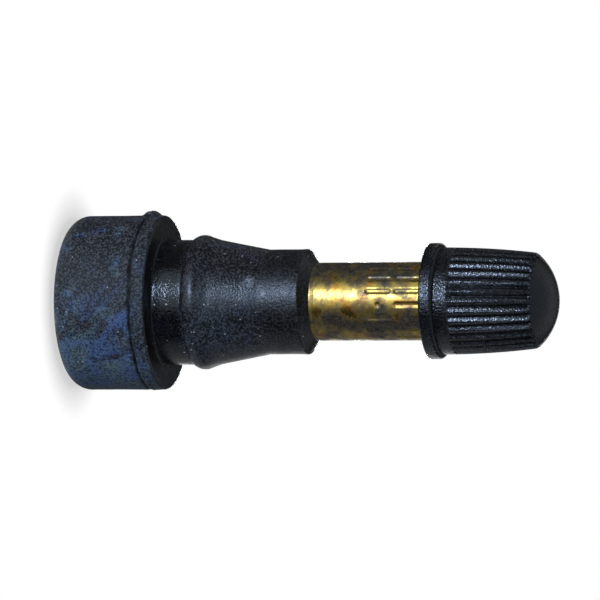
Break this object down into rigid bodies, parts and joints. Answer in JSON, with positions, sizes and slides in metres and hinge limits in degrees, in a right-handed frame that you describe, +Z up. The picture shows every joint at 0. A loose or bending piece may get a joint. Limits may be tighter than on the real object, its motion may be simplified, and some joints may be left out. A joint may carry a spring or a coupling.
{
  "type": "snap-in tyre valve",
  "caption": "Rubber-bodied snap-in tyre valve: flanged rubber base moulded on a brass stem, with a sprung pin core inside and a fluted plastic screw cap on top.",
  "frame": {"origin": "centre of the flange's flat base", "axes": "+Z up the stem towards the cap, with the valve standing on its base; the rubber flash on the flange lies midway between -X and -Y"},
  "size_m": [0.0174, 0.0174, 0.0496],
  "materials": {
    "body_rubber": "moulded matt black rubber with a blue-grey bloom",
    "turned_brass": "turned bright brass",
    "core_brass": "small turned brass pieces",
    "cap_plastic": "moulded black plastic with a soft sheen",
    "seal_rubber": "plain black sealing rubber",
    "seal_red": "tapered core seal",
    "spring_steel": "drawn spring wire"
  },
  "bodies": {
    "stem": {"rubber_body": "body_rubber", "brass_stem": "turned_brass", "core_plug": "core_brass", "core_barrel": "core_brass", "barrel_seal": "seal_red", "core_spring": "spring_steel"},
    "plunger": {"core_pin": "core_brass", "plunger_cup": "core_brass", "plunger_seal": "seal_rubber"},
    "cap_seal": {"cap_seal": "seal_rubber"},
    "cap": {"cap": "cap_plastic"}
  },
  "joints": [
    {"name": "pin_press", "type": "slide", "parent": "stem", "child": "plunger", "axis": [0, 0, -1], "range_m": [0, 0.0016], "stiffness_N_per_m": 1500, "springref_m": -0.002, "deforming": ["core_spring"]},
    {"name": "cap_lift", "type": "slide", "parent": "stem", "child": "cap_seal", "axis": [0, 0, 1], "range_m": [0, 0.00714]},
    {"name": "cap_turn", "type": "hinge", "parent": "cap_seal", "child": "cap", "pos_m": [0, 0, 0.0415], "axis": [0, 0, 1], "range_deg": [0, 3240]}
  ],
  "couplings": [
    {"joint": "cap_turn", "follows": "cap_lift", "rad_per_m": 7915.8}
  ]
}
